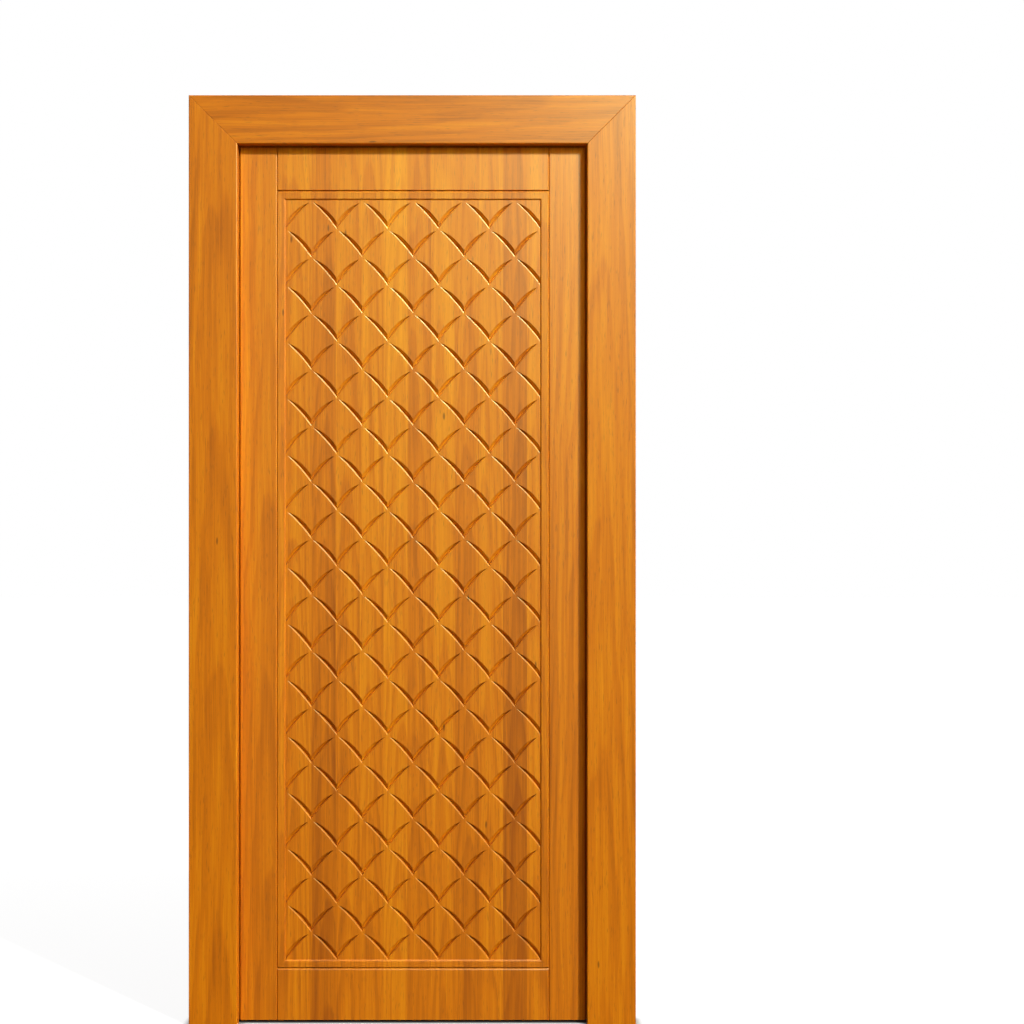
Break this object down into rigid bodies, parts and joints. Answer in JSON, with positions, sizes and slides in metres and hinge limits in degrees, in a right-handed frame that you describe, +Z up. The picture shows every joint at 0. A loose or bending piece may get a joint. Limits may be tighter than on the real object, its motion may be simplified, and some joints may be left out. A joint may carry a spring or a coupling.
{
  "type": "teak door",
  "caption": "Solid teak door leaf with a fish-scale carved panel, hung on butt hinges in a plain mitred frame and swinging away from the carved side.",
  "frame": {"origin": "on the floor, in the middle of the frame's width and depth", "axes": "+Z up, +Y from the carved front to the back, where the leaf opens, +X to the right seen from the front"},
  "size_m": [1.04, 0.0765, 2.165],
  "materials": {
    "teak_frame": "satin",
    "teak_leaf": "satin",
    "teak_dowel": "matte",
    "brass": "satin"
  },
  "bodies": {
    "frame": {"hinge_post": "teak_frame", "lock_post": "teak_frame", "head": "teak_frame", "mitre_dowels_left": "teak_dowel", "mitre_dowels_right": "teak_dowel", "hinge_frame_plate_bottom": "brass", "hinge_frame_plate_middle": "brass", "hinge_frame_plate_top": "brass", "hinge_pin_bottom": "brass", "hinge_pin_middle": "brass", "hinge_pin_top": "brass", "frame_screws": "brass"},
    "leaf": {"hinge_stile": "teak_leaf", "lock_stile": "teak_leaf", "stave_01": "teak_leaf", "stave_02": "teak_leaf", "stave_03": "teak_leaf", "stave_04": "teak_leaf", "stave_05": "teak_leaf", "stave_06": "teak_leaf", "stave_07": "teak_leaf", "stave_08": "teak_leaf", "stave_09": "teak_leaf", "stave_10": "teak_leaf", "stave_11": "teak_leaf", "stave_12": "teak_leaf", "hinge_leaf_plate_bottom": "brass", "hinge_leaf_plate_middle": "brass", "hinge_leaf_plate_top": "brass", "leaf_screws": "brass"}
  },
  "joints": [
    {"name": "leaf_swing", "type": "hinge", "parent": "frame", "child": "leaf", "pos_m": [-0.4205, 0.0385, 0], "axis": [0, 0, 1], "range_deg": [0, 180]}
  ]
}
